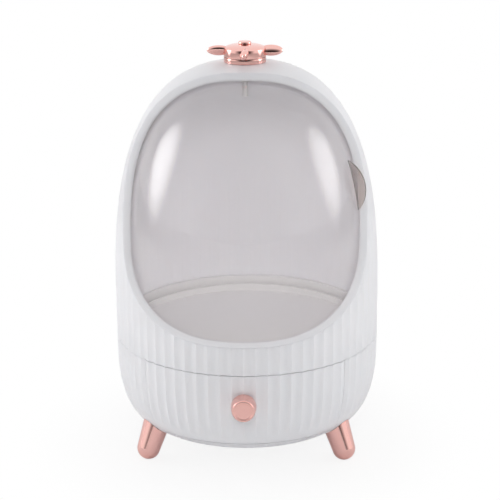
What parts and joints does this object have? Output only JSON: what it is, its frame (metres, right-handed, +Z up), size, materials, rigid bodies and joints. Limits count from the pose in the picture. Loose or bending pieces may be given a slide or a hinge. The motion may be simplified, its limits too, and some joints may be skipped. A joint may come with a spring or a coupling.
{
  "type": "dustproof makeup organizer",
  "caption": "Egg-shaped desktop organizer for cosmetics: fluted housing on splayed legs, clear sliding dome door, front drawer and a spinning crown propeller.",
  "frame": {"origin": "on the floor, under the middle of the whole object's box, with the drawer shut", "axes": "+Z up, -Y towards the front with the drawer's knob, +X to the right as seen from the front"},
  "size_m": [0.262, 0.2774, 0.4044],
  "materials": {
    "white_abs": "satin injection-moulded white with a cool tint",
    "inner_white": "plain moulded white",
    "smoky_clear": "polished, see-through, faintly brown",
    "pull_clear": "polished, see-through, brown at its edge",
    "rose_gold": "plated in mirror-bright rose gold",
    "steel": "bright zinc",
    "nylon": "natural nylon"
  },
  "bodies": {
    "housing": {"base_plate": "white_abs", "base_housing": "white_abs", "upper_shell": "white_abs", "opening_frame": "white_abs", "deck": "inner_white", "door_spacer": "nylon", "pivot_nut": "nylon", "centre_spindle": "steel", "propeller_base": "rose_gold", "cap_button": "rose_gold", "runner_left": "nylon", "runner_right": "nylon", "leg_front_left": "rose_gold", "leg_front_right": "rose_gold", "leg_rear_left": "rose_gold", "leg_rear_right": "rose_gold", "leg_screw_front_left": "steel", "leg_screw_front_right": "steel", "leg_screw_rear_left": "steel", "leg_screw_rear_right": "steel", "post_screw_left": "steel", "post_screw_right": "steel", "post_screw_rear_left": "steel", "post_screw_rear_right": "steel"},
    "door": {"door": "smoky_clear", "door_pull": "pull_clear"},
    "drawer": {"drawer_front": "white_abs", "drawer_tray": "inner_white", "drawer_knob": "rose_gold", "knob_screw": "steel"},
    "propeller": {"propeller_cap": "rose_gold", "blade_1": "rose_gold", "blade_2": "rose_gold", "blade_3": "rose_gold", "blade_4": "rose_gold"}
  },
  "joints": [
    {"name": "door_turn", "type": "hinge", "parent": "housing", "child": "door", "pos_m": [0, 0.00765, 0.116], "axis": [0, 0, -1], "range_deg": [0, 134]},
    {"name": "drawer_slide", "type": "slide", "parent": "housing", "child": "drawer", "axis": [0, -1, 0], "range_m": [0, 0.11]},
    {"name": "propeller_spin", "type": "hinge", "parent": "housing", "child": "propeller", "pos_m": [0, 0.00765, 0.392], "axis": [0, 0, 1], "continuous": true}
  ]
}
